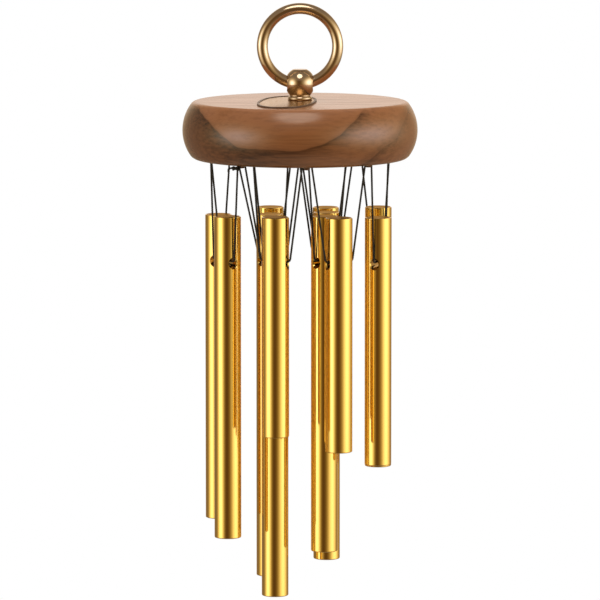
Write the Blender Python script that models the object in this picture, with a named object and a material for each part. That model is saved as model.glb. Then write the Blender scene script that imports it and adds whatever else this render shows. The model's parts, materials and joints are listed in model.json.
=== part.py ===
"""Hand chime: gold bars laced on cords under a turned wooden disc, which hangs from a brass ring.

A Blender script in metres, +Z up. The origin is the hanging point, inside the top of the ring.
The ring stands in the XZ plane, and the front of the chime faces -Y.
"""

import math

import bmesh
import bpy
from mathutils import Matrix

MM = 0.001

# Gap between two pieces that touch each other
SEAT_GAP = 0.3 * MM

# Hanging ring
RING_INNER_DIAMETER = 22.7 * MM
RING_WIRE_DIAMETER = 3.9 * MM
RING_PLAY = 0.2 * MM

# Ring post: a bored ball on a short neck and a foot, with a stud below
BALL_DIAMETER = 10.6 * MM
BALL_TOP_FLAT = 4.8 * MM
NECK_DIAMETER = 6.6 * MM
NECK_LENGTH = 0.5 * MM
FOOT_DIAMETER = 8.5 * MM
FOOT_HEIGHT = 1.6 * MM
FOOT_ROUND = 0.5 * MM
STUD_DIAMETER = 4.0 * MM
STUD_TAIL = 1.0 * MM

# Washer and nut that draw the post down, in a counterbore under the disc
WASHER_DIAMETER = 12.0 * MM
WASHER_THICKNESS = 1.0 * MM
WASHER_PLAY = 0.5 * MM
NUT_ACROSS_FLATS = 7.0 * MM
NUT_HEIGHT = 3.2 * MM
NUT_RECESS = 0.8 * MM

# Wooden disc: two flat faces with rounded edges, and a side that bulges in one arc
DISC_DIAMETER = 83.2 * MM
DISC_BULGE = 3.8 * MM
DISC_THICKNESS = 20.4 * MM
DISC_TOP_ROUND = 2.5 * MM
DISC_BOTTOM_ROUND = 3.5 * MM

# Lacing: each peg wedges a bight of the cord in its hole
CORD_DIAMETER = 0.66 * MM
CORD_BEND_RADIUS = 1.2 * MM
PEG_DIAMETER = 2.2 * MM
PEG_TIP_DIAMETER = 1.8 * MM
PEG_DEPTH = 8.0 * MM
PEG_PROUD = 1.2 * MM
HOLE_EDGE_MARGIN = 6.3 * MM
HOLE_RING_SPACING = 15.0 * MM

# Bars: the shortest comes first, and each next one is a step longer
OUTER_BARS = 8
INNER_BARS = 4
BAR_DIAMETER = 9.5 * MM
BAR_SHORTEST = 77.5 * MM
BAR_STEP = 5.25 * MM
BAR_CHAMFER = 0.4 * MM
BAR_HANG = 19.4 * MM
CROSS_HOLE_DROP = 16.3 * MM
CROSS_HOLE_PLAY = 2.14 * MM
COUNTERSINK = 0.5 * MM

# Angles run from the front round to the right. The two rings of bars start here.
OUTER_START = math.radians(-18.1)
INNER_START = math.radians(49.4)

# Hand lacing is uneven: how much lower than BAR_HANG each bar hangs, in millimetres,
# and how far round from the middle of its two strands it has slipped
LACING_SLACK = (-1.5, -1.1, 0.3, -1.2, 0.7, 0.5, 1.1, -0.5, 0.0, 0.5, 1.0, 0.3)
LACING_SLIP = (0.75, 0.2, -2.3, -3.0, 0.0, -3.2, 2.2, 2.3, -1.8, -1.5, 1.6, -0.6)

# How far a cutter runs past the face that it cuts
CUT_OVERRUN = 1.0 * MM

# Facets
RING_STEPS = 48
WIRE_SIDES = 12
TURNED_SIDES = 32
DISC_SIDES = 64
HOLE_SIDES = 16
BAR_SIDES = 28
PEG_SIDES = 10
NUT_SIDES = 6
ARC_STEPS = 10
DISC_SIDE_STEPS = 8
DISC_ROUND_STEPS = 3
BEND_STEPS = 4
BIGHT_STEPS = 6
SHARP_ANGLE = math.radians(35)
WELD = 1e-6

# Rounds in which the width and the length of the bore settle on each other
BORE_ROUNDS = 10

# Sizes that follow from those above
CORD_RADIUS = CORD_DIAMETER / 2
BALL_RADIUS = BALL_DIAMETER / 2
NECK_RADIUS = NECK_DIAMETER / 2
STUD_RADIUS = STUD_DIAMETER / 2
WIRE_RADIUS = RING_WIRE_DIAMETER / 2
RING_RADIUS = RING_INNER_DIAMETER / 2 + WIRE_RADIUS
BAR_RADIUS = BAR_DIAMETER / 2
DISC_FACE_RADIUS = DISC_DIAMETER / 2 - DISC_BULGE
OUTER_HOLE_RADIUS = DISC_FACE_RADIUS - HOLE_EDGE_MARGIN
INNER_HOLE_RADIUS = OUTER_HOLE_RADIUS - HOLE_RING_SPACING
CROSS_HOLE_RADIUS = (CORD_DIAMETER + CROSS_HOLE_PLAY) / 2
STRAND_OFFSET = PEG_DIAMETER / 2 + SEAT_GAP + CORD_RADIUS
PEG_HOLE_RADIUS = STRAND_OFFSET + CORD_RADIUS + SEAT_GAP
PEG_HOLE_DEPTH = PEG_DEPTH + PEG_HOLE_RADIUS
STUD_HOLE_RADIUS = STUD_RADIUS + SEAT_GAP

# Heights above the ball's centre, which the disc and all that hangs from it swing about
FOOT_BOTTOM = -(math.sqrt(BALL_RADIUS**2 - NECK_RADIUS**2) + NECK_LENGTH + FOOT_HEIGHT)
DISC_TOP = FOOT_BOTTOM - SEAT_GAP
UNDERSIDE = DISC_TOP - DISC_THICKNESS
STUD_END = UNDERSIDE + NUT_RECESS
NUT_BOTTOM = STUD_END + STUD_TAIL
WASHER_BOTTOM = NUT_BOTTOM + NUT_HEIGHT + SEAT_GAP
COUNTERBORE_FLOOR = WASHER_BOTTOM + WASHER_THICKNESS + SEAT_GAP
STRAND_TOP = UNDERSIDE - SEAT_GAP


def clear_scene():
    for obj in list(bpy.data.objects):
        bpy.data.objects.remove(obj)


def finish(name, colour, roughness, metallic):
    """A plain Principled material."""
    material = bpy.data.materials.new(name)
    material.use_nodes = True
    shader = material.node_tree.nodes["Principled BSDF"]
    shader.inputs["Base Color"].default_value = (*colour, 1.0)
    shader.inputs["Roughness"].default_value = roughness
    shader.inputs["Metallic"].default_value = metallic
    material.diffuse_color = (*colour, 1.0)
    return material


def arc(centre, radius, start, end, steps):
    """Points of an arc in the plane of a turned outline, from one angle to another."""
    angles = [start + (end - start) * step / steps for step in range(steps + 1)]
    return [(centre[0] + radius * math.cos(a), centre[1] + radius * math.sin(a)) for a in angles]


def turned(outline, sides, closed=False):
    """A (radius, height) outline spun about Z, as a bmesh."""
    bm = bmesh.new()
    points = [bm.verts.new((radius, 0.0, height)) for radius, height in outline]
    followers = points[1:] + points[:1] if closed else points[1:]
    edges = [bm.edges.new(pair) for pair in zip(points, followers)]
    bmesh.ops.spin(
        bm,
        geom=points + edges,
        cent=(0.0, 0.0, 0.0),
        axis=(0.0, 0.0, 1.0),
        angle=2 * math.pi,
        steps=sides,
        use_merge=True,
    )
    bmesh.ops.remove_doubles(bm, verts=bm.verts, dist=WELD)
    bmesh.ops.recalc_face_normals(bm, faces=bm.faces)
    return bm


def placed_copies(bm, places):
    """The shape repeated at each of the given matrices, as one bmesh of separate bodies."""
    shape = bpy.data.meshes.new("shape")
    bm.to_mesh(shape)
    copies = bmesh.new()
    for place in places:
        moved = shape.copy()
        moved.transform(place)
        copies.from_mesh(moved)
    return copies


def add_piece(name, bm, material, parent=None):
    """A named object from a bmesh, shaded smooth except across its sharp edges."""
    mesh = bpy.data.meshes.new(name)
    bm.to_mesh(mesh)
    mesh.shade_smooth()
    mesh.set_sharp_from_angle(angle=SHARP_ANGLE)
    mesh.materials.append(material)
    piece = bpy.data.objects.new(name, mesh)
    piece.parent = parent
    bpy.context.scene.collection.objects.link(piece)
    return piece


def add_cutter(name, bm, parent):
    """A helper for a Boolean cut, which is no piece of the chime."""
    mesh = bpy.data.meshes.new(name)
    bm.to_mesh(mesh)
    cutter = bpy.data.objects.new(name, mesh)
    cutter.parent = parent
    cutter.hide_render = True
    cutter.display_type = "WIRE"
    bpy.context.scene.collection.objects.link(cutter)
    return cutter


def cut(piece, cutter):
    boolean = piece.modifiers.new(cutter.name, "BOOLEAN")
    boolean.operation = "DIFFERENCE"
    boolean.object = cutter


def add_cord(name, route, material, parent):
    """A cord along (x, z) points in the upright plane of its parent."""
    curve = bpy.data.curves.new(name, "CURVE")
    curve.dimensions = "3D"
    curve.bevel_depth = CORD_RADIUS
    curve.bevel_resolution = 2
    curve.use_fill_caps = True
    spline = curve.splines.new("POLY")
    spline.points.add(len(route) - 1)
    for point, (x, z) in zip(spline.points, route):
        point.co = (x, 0.0, z, 1.0)
    curve.materials.append(material)
    cord = bpy.data.objects.new(name, curve)
    cord.parent = parent
    bpy.context.scene.collection.objects.link(cord)
    return cord


def add_axis(name, place, parent=None):
    """An empty on a joint's axis, with its X along the axis."""
    axis = bpy.data.objects.new(name, None)
    axis.empty_display_size = BAR_RADIUS
    axis.parent = parent
    axis.matrix_local = place
    bpy.context.scene.collection.objects.link(axis)
    return axis


def around(angle, radius, height):
    """A place on a circle about the disc's axis, turned so that X runs along the circle."""
    where = (radius * math.sin(angle), -radius * math.cos(angle), height)
    return Matrix.Translation(where) @ Matrix.Rotation(angle, 4, "Z")


def ring_bore():
    """The bore that the curved wire needs through the ball, and its axis above the wire's lowest point."""
    reach = BALL_RADIUS
    for _ in range(BORE_ROUNDS):
        rise = RING_RADIUS - math.sqrt(RING_RADIUS**2 - reach**2)
        lean = math.asin(reach / RING_RADIUS)
        radius = rise / 2 + WIRE_RADIUS / math.cos(lean) + RING_PLAY
        reach = math.sqrt(BALL_RADIUS**2 - radius**2)
    return radius, rise / 2


def lacing_rings():
    """For each ring of bars: its count, the angle of its first bar and the radius of its peg holes."""
    return (
        (OUTER_BARS, OUTER_START, OUTER_HOLE_RADIUS),
        (INNER_BARS, INNER_START, INNER_HOLE_RADIUS),
    )


def peg_places(height):
    """A place for each peg hole. The holes lie midway between the bars of their ring."""
    places = []
    for count, start, radius in lacing_rings():
        for index in range(count):
            angle = start + (index + 0.5) * 2 * math.pi / count
            places.append(around(angle, radius, height))
    return places


def bar_places():
    """For each bar: the place of its hinge, and how far along the hinge from it each strand starts."""
    places = []
    for count, start, radius in lacing_rings():
        half = math.pi / count
        spread = radius * math.sin(half) - STRAND_OFFSET * math.cos(half)
        hinge_radius = radius * math.cos(half) + STRAND_OFFSET * math.sin(half)
        for index in range(count):
            places.append((around(start + index * 2 * half, hinge_radius, STRAND_TOP), spread))
    return places


def bar_top(index):
    """Height of a bar's top below its hinge."""
    return SEAT_GAP - BAR_HANG - LACING_SLACK[index % len(LACING_SLACK)] * MM


def bar_slip(index):
    """How far along its hinge a bar hangs from the middle of its strands."""
    return LACING_SLIP[index % len(LACING_SLIP)] * MM


def hang_ring(brass):
    wire = arc((RING_RADIUS, 0.0), WIRE_RADIUS, 0.0, 2 * math.pi, WIRE_SIDES)[:-1]
    bm = turned(wire, RING_STEPS, closed=True)
    bmesh.ops.rotate(bm, verts=bm.verts, matrix=Matrix.Rotation(math.pi / 2, 3, "X"))
    ring = add_piece("hang_ring", bm, brass)
    ring.location.z = -RING_INNER_DIAMETER / 2
    return ring


def ring_post(brass, swing, bore_radius):
    top_angle = math.acos(BALL_TOP_FLAT / BALL_DIAMETER)
    neck_angle = -math.acos(NECK_DIAMETER / BALL_DIAMETER)
    ball = arc((0.0, 0.0), BALL_RADIUS, top_angle, neck_angle, ARC_STEPS)
    foot_top = FOOT_BOTTOM + FOOT_HEIGHT
    foot_radius = FOOT_DIAMETER / 2
    round_centre = (foot_radius - FOOT_ROUND, foot_top - FOOT_ROUND)
    foot_edge = arc(round_centre, FOOT_ROUND, math.pi / 2, 0.0, BEND_STEPS)
    outline = [(0.0, ball[0][1]), *ball, (NECK_RADIUS, foot_top), *foot_edge, (foot_radius, FOOT_BOTTOM)]
    outline += [(STUD_RADIUS, FOOT_BOTTOM), (STUD_RADIUS, STUD_END), (0.0, STUD_END)]
    post = add_piece("ring_post", turned(outline, TURNED_SIDES), brass, swing)
    half = BALL_RADIUS
    bore = turned([(0.0, half), (bore_radius, half), (bore_radius, -half), (0.0, -half)], TURNED_SIDES)
    bmesh.ops.rotate(bore, verts=bore.verts, matrix=Matrix.Rotation(math.pi / 2, 3, "Y"))
    cut(post, add_cutter("ring_bore_cutter", bore, swing))


def post_washer(steel, swing):
    inner, outer = STUD_HOLE_RADIUS, WASHER_DIAMETER / 2
    top, bottom = WASHER_BOTTOM + WASHER_THICKNESS, WASHER_BOTTOM
    outline = [(inner, top), (outer, top), (outer, bottom), (inner, bottom)]
    add_piece("post_washer", turned(outline, TURNED_SIDES, closed=True), steel, swing)


def post_nut(steel, swing):
    corner = NUT_ACROSS_FLATS / 2 / math.cos(math.pi / NUT_SIDES)
    top, bottom = NUT_BOTTOM + NUT_HEIGHT, NUT_BOTTOM
    hexagon = turned([(0.0, top), (corner, top), (corner, bottom), (0.0, bottom)], NUT_SIDES)
    nut = add_piece("post_nut", hexagon, steel, swing)
    high, low = top + CUT_OVERRUN, bottom - CUT_OVERRUN
    hole = turned([(0.0, high), (STUD_HOLE_RADIUS, high), (STUD_HOLE_RADIUS, low), (0.0, low)], HOLE_SIDES)
    cut(nut, add_cutter("nut_hole_cutter", hole, swing))


def edge_round(radius, half, side_radius):
    """How far out from the side's centre an edge's round has its own, and the angle where the two meet."""
    angle = math.asin((half - radius) / (side_radius - radius))
    return (side_radius - radius) * math.cos(angle), angle


def disc_outline():
    """Half of the disc's section, from the middle of its top to the middle of its underside."""
    half = DISC_THICKNESS / 2
    side_radius = (half**2 + DISC_BULGE**2) / (2 * DISC_BULGE)
    centre = (DISC_DIAMETER / 2 - side_radius, DISC_TOP - half)
    top_reach, top_angle = edge_round(DISC_TOP_ROUND, half, side_radius)
    bottom_reach, bottom_angle = edge_round(DISC_BOTTOM_ROUND, half, side_radius)
    top_centre = (centre[0] + top_reach, DISC_TOP - DISC_TOP_ROUND)
    bottom_centre = (centre[0] + bottom_reach, UNDERSIDE + DISC_BOTTOM_ROUND)
    top = arc(top_centre, DISC_TOP_ROUND, math.pi / 2, top_angle, DISC_ROUND_STEPS)
    side = arc(centre, side_radius, top_angle, -bottom_angle, DISC_SIDE_STEPS)
    bottom = arc(bottom_centre, DISC_BOTTOM_ROUND, -bottom_angle, -math.pi / 2, DISC_ROUND_STEPS)
    return [(0.0, DISC_TOP), *top, *side[1:], *bottom[1:], (0.0, UNDERSIDE)]


def wooden_disc(wood, swing):
    disc = add_piece("wooden_disc", turned(disc_outline(), DISC_SIDES), wood, swing)

    low, high = -CUT_OVERRUN, PEG_HOLE_DEPTH
    hole = turned([(0.0, high), (PEG_HOLE_RADIUS, high), (PEG_HOLE_RADIUS, low), (0.0, low)], HOLE_SIDES)
    cut(disc, add_cutter("peg_hole_cutter", placed_copies(hole, peg_places(UNDERSIDE)), swing))

    counterbore = WASHER_DIAMETER / 2 + WASHER_PLAY
    above, below = DISC_TOP + CUT_OVERRUN, UNDERSIDE - CUT_OVERRUN
    outline = [(0.0, above), (STUD_HOLE_RADIUS, above), (STUD_HOLE_RADIUS, COUNTERBORE_FLOOR)]
    outline += [(counterbore, COUNTERBORE_FLOOR), (counterbore, below), (0.0, below)]
    cut(disc, add_cutter("stud_hole_cutter", turned(outline, TURNED_SIDES), swing))


def cord_pegs(peg_wood, swing):
    tip, head = PEG_TIP_DIAMETER / 2, PEG_DIAMETER / 2
    outline = [(0.0, PEG_DEPTH), (tip, PEG_DEPTH), (head, 0.0), (head, -PEG_PROUD), (0.0, -PEG_PROUD)]
    for number, place in enumerate(peg_places(UNDERSIDE), 1):
        peg = add_piece(f"cord_peg_{number:02d}", turned(outline, PEG_SIDES), peg_wood, swing)
        peg.matrix_local = place


def cord_bights(black, swing):
    """The bend of cord over each peg. Its two legs come down on either side of the peg."""
    over = arc((0.0, PEG_DEPTH), STRAND_OFFSET, math.pi, 0.0, BIGHT_STEPS)
    route = [(-STRAND_OFFSET, 0.0), *over, (STRAND_OFFSET, 0.0)]
    for number, place in enumerate(peg_places(UNDERSIDE), 1):
        bight = add_cord(f"cord_bight_{number:02d}", route, black, swing)
        bight.matrix_local = place


def strand_route(reach, hole_height):
    """Half of a bar's cord, from under the upper lip of the cross-hole out and up to the disc."""
    run = hole_height + CROSS_HOLE_RADIUS - SEAT_GAP - CORD_RADIUS
    bend = (BAR_RADIUS - COUNTERSINK + CORD_RADIUS / 2, run + CORD_BEND_RADIUS)
    across, up = reach - bend[0], -bend[1]
    strand = math.sqrt(across**2 + up**2 - CORD_BEND_RADIUS**2)
    heading = math.atan2(up, across) + math.atan2(CORD_BEND_RADIUS, strand)
    turn = arc(bend, CORD_BEND_RADIUS, -math.pi / 2, heading - math.pi / 2, BEND_STEPS)
    return [*turn, (reach, 0.0)]


def cord_route(spread, slip, hole_height):
    """A bar's cord: down one strand, through the cross-hole, and up the other strand."""
    left = [(slip - x, z) for x, z in reversed(strand_route(spread + slip, hole_height))]
    right = [(slip + x, z) for x, z in strand_route(spread - slip, hole_height)]
    return left + right


def chime_bars(gold, black, swing):
    """The bars and their cords, each pair on its own hinge under the disc."""
    hole_length = BAR_RADIUS + CUT_OVERRUN
    flare_start = BAR_RADIUS - COUNTERSINK
    flare_end = CROSS_HOLE_RADIUS + COUNTERSINK + CUT_OVERRUN
    flared = [(0.0, hole_length), (flare_end, hole_length), (CROSS_HOLE_RADIUS, flare_start)]
    outline = flared + [(radius, -height) for radius, height in reversed(flared)]
    lengthwise = Matrix.Rotation(math.pi / 2, 4, "Y")
    holes = []
    hinges = []
    for index, (place, spread) in enumerate(bar_places()):
        slip, hole_height = bar_slip(index), bar_top(index) - CROSS_HOLE_DROP
        holes.append(place @ Matrix.Translation((slip, 0.0, hole_height)) @ lengthwise)
        hinges.append(add_axis(f"bar_hinge_{index + 1:02d}", place, swing))
        route = cord_route(spread, slip, hole_height)
        add_cord(f"bar_cord_{index + 1:02d}", route, black, hinges[index])
    cutter = add_cutter("cross_hole_cutter", placed_copies(turned(outline, HOLE_SIDES), holes), swing)

    for index, hinge in enumerate(hinges):
        top = bar_top(index)
        bottom = top - BAR_SHORTEST - index * BAR_STEP
        inset = BAR_RADIUS - BAR_CHAMFER
        rod = [(0.0, top), (inset, top), (BAR_RADIUS, top - BAR_CHAMFER)]
        rod += [(BAR_RADIUS, bottom + BAR_CHAMFER), (inset, bottom), (0.0, bottom)]
        bar = add_piece(f"chime_bar_{index + 1:02d}", turned(rod, BAR_SIDES), gold, hinge)
        bar.location.x = bar_slip(index)
        cut(bar, cutter)


def main():
    clear_scene()
    brass = finish("polished_brass", (0.80, 0.58, 0.28), 0.15, 1.0)
    wood = finish("varnished_walnut", (0.30, 0.15, 0.08), 0.35, 0.0)
    peg_wood = finish("peg_wood", (0.25, 0.13, 0.07), 0.6, 0.0)
    gold = finish("gold_anodised_aluminium", (0.95, 0.65, 0.14), 0.12, 1.0)
    black = finish("black_cord", (0.02, 0.02, 0.02), 0.7, 0.0)
    steel = finish("zinc_plated_steel", (0.60, 0.60, 0.60), 0.35, 1.0)

    bore_radius, bore_rise = ring_bore()
    ring = hang_ring(brass)
    ball_height = ring.location.z - RING_RADIUS + bore_rise
    swing = add_axis("ring_swing_axis", Matrix.Translation((0.0, 0.0, ball_height)))
    ring_post(brass, swing, bore_radius)
    post_washer(steel, swing)
    post_nut(steel, swing)
    wooden_disc(wood, swing)
    cord_pegs(peg_wood, swing)
    cord_bights(black, swing)
    chime_bars(gold, black, swing)


main()
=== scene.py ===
"""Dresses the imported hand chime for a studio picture, laid out as a Blender add-on.

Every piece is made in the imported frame, in metres, and rides on the body that carries it.
The chime hangs from its ring, its front faces -Y, and +Z is up.
"""

import json
import math

import bmesh
import bpy
from bpy.props import FloatProperty, FloatVectorProperty, IntProperty, PointerProperty
from mathutils import Matrix, Vector


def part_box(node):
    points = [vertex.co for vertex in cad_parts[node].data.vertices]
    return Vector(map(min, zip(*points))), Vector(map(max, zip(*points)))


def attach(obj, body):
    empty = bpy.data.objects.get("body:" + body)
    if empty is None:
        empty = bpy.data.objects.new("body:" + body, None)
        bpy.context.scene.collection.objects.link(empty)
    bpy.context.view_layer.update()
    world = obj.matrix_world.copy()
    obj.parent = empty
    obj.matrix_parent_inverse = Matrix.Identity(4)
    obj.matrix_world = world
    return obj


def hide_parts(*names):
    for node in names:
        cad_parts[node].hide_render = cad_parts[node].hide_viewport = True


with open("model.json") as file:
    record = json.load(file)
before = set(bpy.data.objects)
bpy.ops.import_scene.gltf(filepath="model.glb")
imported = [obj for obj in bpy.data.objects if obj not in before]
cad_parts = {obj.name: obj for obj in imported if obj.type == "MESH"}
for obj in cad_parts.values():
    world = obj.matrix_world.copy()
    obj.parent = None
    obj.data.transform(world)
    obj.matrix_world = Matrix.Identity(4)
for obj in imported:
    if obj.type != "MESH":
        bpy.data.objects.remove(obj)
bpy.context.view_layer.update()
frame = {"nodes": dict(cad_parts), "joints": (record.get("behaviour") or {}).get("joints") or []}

bl_info = {
    "name": "Hand Chime",
    "version": (1, 0, 0),
    "blender": (4, 5, 0),
    "location": "View3D > Sidebar > Chime",
    "description": "Ring, post, disc, bars and lacing of a hand chime, with a studio for them",
    "category": "Object",
}

MM = 0.001
JOINTS = {joint["name"]: joint for joint in frame["joints"]}
NUMBERS = sorted(name.split("_")[-1] for name in frame["nodes"] if name.startswith("chime_bar_"))
RING_LOW, RING_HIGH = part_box("hang_ring")
POST_LOW, POST_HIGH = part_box("ring_post")
DISC_LOW, DISC_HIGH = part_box("wooden_disc")
WASHER_LOW, WASHER_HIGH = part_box("post_washer")
NUT_LOW, NUT_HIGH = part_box("post_nut")
BAR_LOW, BAR_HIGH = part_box("chime_bar_01")
PEG_LOW, PEG_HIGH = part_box("cord_peg_01")
PEG_DEPTH = PEG_HIGH.z - DISC_LOW.z
BALL_CENTRE = Vector(JOINTS["ring_swing"]["pos_m"])
PLATE_TURN = math.radians(84.0)
PLATE_MIDDLE = (-4.6 * MM, -7.5 * MM)
KNOT_PEG = "08"

# Facets round large and small turned shapes, and round the cross holes, the pegs and the cord
FINE, ROUND, DRILLED, PEGGED, CORDED = 192, 64, 40, 24, 18
SHARP_ANGLE = math.radians(35)
WELD = 1e-6
# How far a cutter runs past what it cuts
OVERRUN = 1.0 * MM
STEPS_PER_LAY = 9

# Half the picture's width over the focal length, both in pixels
VIEW_ANGLE = 2 * math.atan(300 / 5685)
WHITE = (1.0, 1.0, 1.0)
# Places of the lamps from the camera's target, their widths, and the key's tint
KEY_PLACE, TOP_PLACE = Vector((-0.05, -0.76, 1.17)), Vector((0.0, 0.35, 1.4))
KEY_WIDTH, TOP_WIDTH = 0.85, 1.6
KEY_TINT = (1.0, 0.88, 0.75)
# Soft panels: angles in degrees, with azimuths from the front to the right, and their light
PANEL_ANGLES = ("Azimuth", "Spread", "Elevation", "Height")
PANELS = (
    (-64.0, 26.0, -1.0, 20.0, (2.15, 2.07, 1.96)),
    (74.0, 39.0, 3.0, 21.0, (2.15, 2.07, 1.96)),
    (180.0, 24.0, 12.0, 20.0, (0.92, 0.81, 0.74)),
)


def amount(name, description, default, **kind):
    """A property for a number, such as an angle or a power."""
    return FloatProperty(name=name, description=description, default=default, **kind)


def length(name, description, default):
    """A property for a size in metres."""
    return amount(name, description, default, min=0.0, precision=5, unit="LENGTH")


def colour(name, description, default):
    """A property for a linear colour."""
    kind = {"size": 3, "min": 0.0, "max": 1.0, "subtype": "COLOR"}
    return FloatVectorProperty(name=name, description=description, default=default, **kind)


class ChimeSizes(bpy.types.PropertyGroup):
    """Sizes of the dressed pieces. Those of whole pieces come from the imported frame."""

    wire: length("Ring Wire", "Thickness of the ring's wire", RING_HIGH.y - RING_LOW.y)
    ring: length("Ring", "Outer diameter of the ring", RING_HIGH.x - RING_LOW.x)
    ball: length("Ball", "Diameter of the post's ball", POST_HIGH.y - POST_LOW.y)
    ball_flat: length("Ball Flat", "Diameter of the flat on top of the ball", 4.8 * MM)
    bore: length("Bore", "Diameter of the ball's bore", 5.36 * MM)
    neck: length("Neck", "Diameter of the post's neck", 7.4 * MM)
    foot: length("Foot", "Diameter of the post's foot", 8.5 * MM)
    foot_height: length("Foot Height", "Height of the post's foot", 1.85 * MM)
    foot_round: length("Foot Round", "Radius of the foot's edges", 0.9 * MM)
    stud: length("Stud", "Diameter of the stud below the foot", 4.0 * MM)
    disc_bulge: length("Disc Bulge", "How far the disc's side bulges out from its faces", 3.8 * MM)
    disc_top: length("Disc Top Round", "Round of the edge of the disc's top face", 2.5 * MM)
    disc_bottom: length("Disc Bottom Round", "Round of the edge of the disc's underside", 3.5 * MM)
    peg_hole: length("Peg Hole", "Diameter of the peg holes under the disc", 4.72 * MM)
    counterbore: length("Counterbore", "Diameter of the recess round the nut", 13.0 * MM)
    cord: length("Cord", "Thickness over the strands of the lacing cord", 0.78 * MM)
    cord_lay: length("Cord Lay", "Length of one turn of the cord's strands", 2.2 * MM)
    cord_bend: length("Cord Bend", "Radius of the cord's bend at a bar", 1.2 * MM)
    strand: length("Strand Offset", "From a peg's middle to the cord beside it", 1.73 * MM)
    bar: length("Bar", "Diameter of the bars", BAR_HIGH.x - BAR_LOW.x)
    bar_chamfer: length("Bar Chamfer", "Chamfer on the bars' ends", 0.4 * MM)
    hole: length("Cross Hole", "Diameter of the hole through each bar", 2.8 * MM)
    hole_drop: length("Hole Drop", "From a bar's top to its cross hole", 16.3 * MM)
    countersink: length("Countersink", "Depth of the cross hole's countersink", 0.7 * MM)
    gap: length("Gap", "Gap between pieces that touch", 0.3 * MM)
    plate_length: length("Plate Length", "Length of the oval plate on the disc", 49.0 * MM)
    plate_width: length("Plate Width", "Width of the oval plate on the disc", 20.0 * MM)
    plate_rim: length("Plate Rim", "Width of the plate's dark rim", 0.8 * MM)
    cord_groove: amount("Cord Groove", "Depth between strands, as a share of the radius", 0.22)
    cord_lobes: IntProperty(
        name="Cord Strands", description="Strands laid in the cord", default=3, min=2, max=5
    )


class ChimeColours(bpy.types.PropertyGroup):
    """Linear colours of the finishes."""

    brass: colour("Brass", "Polished brass", (0.70, 0.56, 0.41))
    gold: colour("Gold", "Gold anodised rod", (0.83, 0.55, 0.04))
    cut_end: colour("Cut End", "Faced ends of the bars", (0.56, 0.39, 0.17))
    walnut_light: colour("Walnut Light", "Pale early wood", (0.32, 0.13, 0.051))
    walnut_dark: colour("Walnut Dark", "Dark late wood", (0.057, 0.0205, 0.0068))
    peg: colour("Peg", "Peg wood", (0.20, 0.095, 0.045))
    cord: colour("Cord", "Lacing cord", (0.014, 0.014, 0.015))
    steel: colour("Steel", "Plated steel", (0.62, 0.62, 0.60))
    plate: colour("Plate", "Bare metal plate", (0.62, 0.40, 0.19))
    rim: colour("Plate Rim", "Dark rim of the plate", (0.10, 0.06, 0.042))


class ChimeStudio(bpy.types.PropertyGroup):
    """Camera, lamps and surroundings."""

    distance: length("Camera Distance", "From the camera to the point it looks at", 2.018)
    look_drop: length("Look Drop", "How far below the disc's top the camera looks", 70.84 * MM)
    pitch: amount("Pitch", "How far the camera looks down", math.radians(6.74), subtype="ANGLE")
    view: amount("View Angle", "Camera's angle of view", VIEW_ANGLE, subtype="ANGLE")
    key_power: amount("Key Lamp", "Power of the lamp above the front", 4.3, unit="POWER")
    top_power: amount("Top Lamp", "Power of the lamp overhead", 15.0, unit="POWER")
    front: colour("Front", "Light from the room in front", (0.088, 0.047, 0.023))
    above: colour("Above", "Light from above", (0.26, 0.205, 0.145))
    below: colour("Below", "Light from below", (0.26, 0.20, 0.145))
    floor_drop: length("Floor Drop", "How far the floor lies below the ring", 2.2)


# Shapes


def as_mesh(bm, name="shape"):
    """The mesh of a bmesh, which is freed."""
    mesh = bpy.data.meshes.new(name)
    bm.to_mesh(mesh)
    bm.free()
    return mesh


def turned(outline, sides, closed=False):
    """A mesh from a (radius, height) outline spun about Z."""
    bm = bmesh.new()
    points = [bm.verts.new((radius, 0.0, height)) for radius, height in outline]
    followers = points[1:] + points[:1] if closed else points[1:]
    edges = [bm.edges.new(pair) for pair in zip(points, followers)]
    spin = {"cent": (0.0, 0.0, 0.0), "axis": (0.0, 0.0, 1.0), "angle": 2 * math.pi}
    bmesh.ops.spin(bm, geom=points + edges, steps=sides, use_merge=True, **spin)
    bmesh.ops.remove_doubles(bm, verts=bm.verts, dist=WELD)
    bmesh.ops.recalc_face_normals(bm, faces=bm.faces)
    return as_mesh(bm)


def mirrored(outline, middle=0.0):
    """An outline, and then its mirror image below a middle height."""
    return outline + [(radius, 2 * middle - height) for radius, height in reversed(outline)]


def cylinder(radius, low, high):
    """The outline of a plain cylinder."""
    return mirrored([(0.0, high), (radius, high)], (low + high) / 2)


def arc(centre, radius, start, end, steps):
    """Points of an arc in the plane of a turned outline."""
    angles = [start + (end - start) * step / steps for step in range(steps + 1)]
    return [(centre[0] + radius * math.cos(a), centre[1] + radius * math.sin(a)) for a in angles]


def placed(name, data):
    """A new object in the scene."""
    made = bpy.data.objects.new(name, data)
    bpy.context.scene.collection.objects.link(made)
    return made


def evaluated(carrier):
    """The plain mesh that an object's modifiers give. The object itself is removed."""
    graph = bpy.context.evaluated_depsgraph_get()
    graph.update()
    mesh = bpy.data.meshes.new_from_object(carrier.evaluated_get(graph), depsgraph=graph)
    bpy.data.objects.remove(carrier)
    return mesh


def carved(mesh, cutter_mesh, operation="DIFFERENCE"):
    """The mesh with another cut out of it, or kept only where both are."""
    piece, cutter = placed("carrier", mesh), placed("carrier", cutter_mesh)
    boolean = piece.modifiers.new("carve", "BOOLEAN")
    boolean.operation = operation
    boolean.object = cutter
    result = evaluated(piece)
    bpy.data.objects.remove(cutter)
    return result


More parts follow.
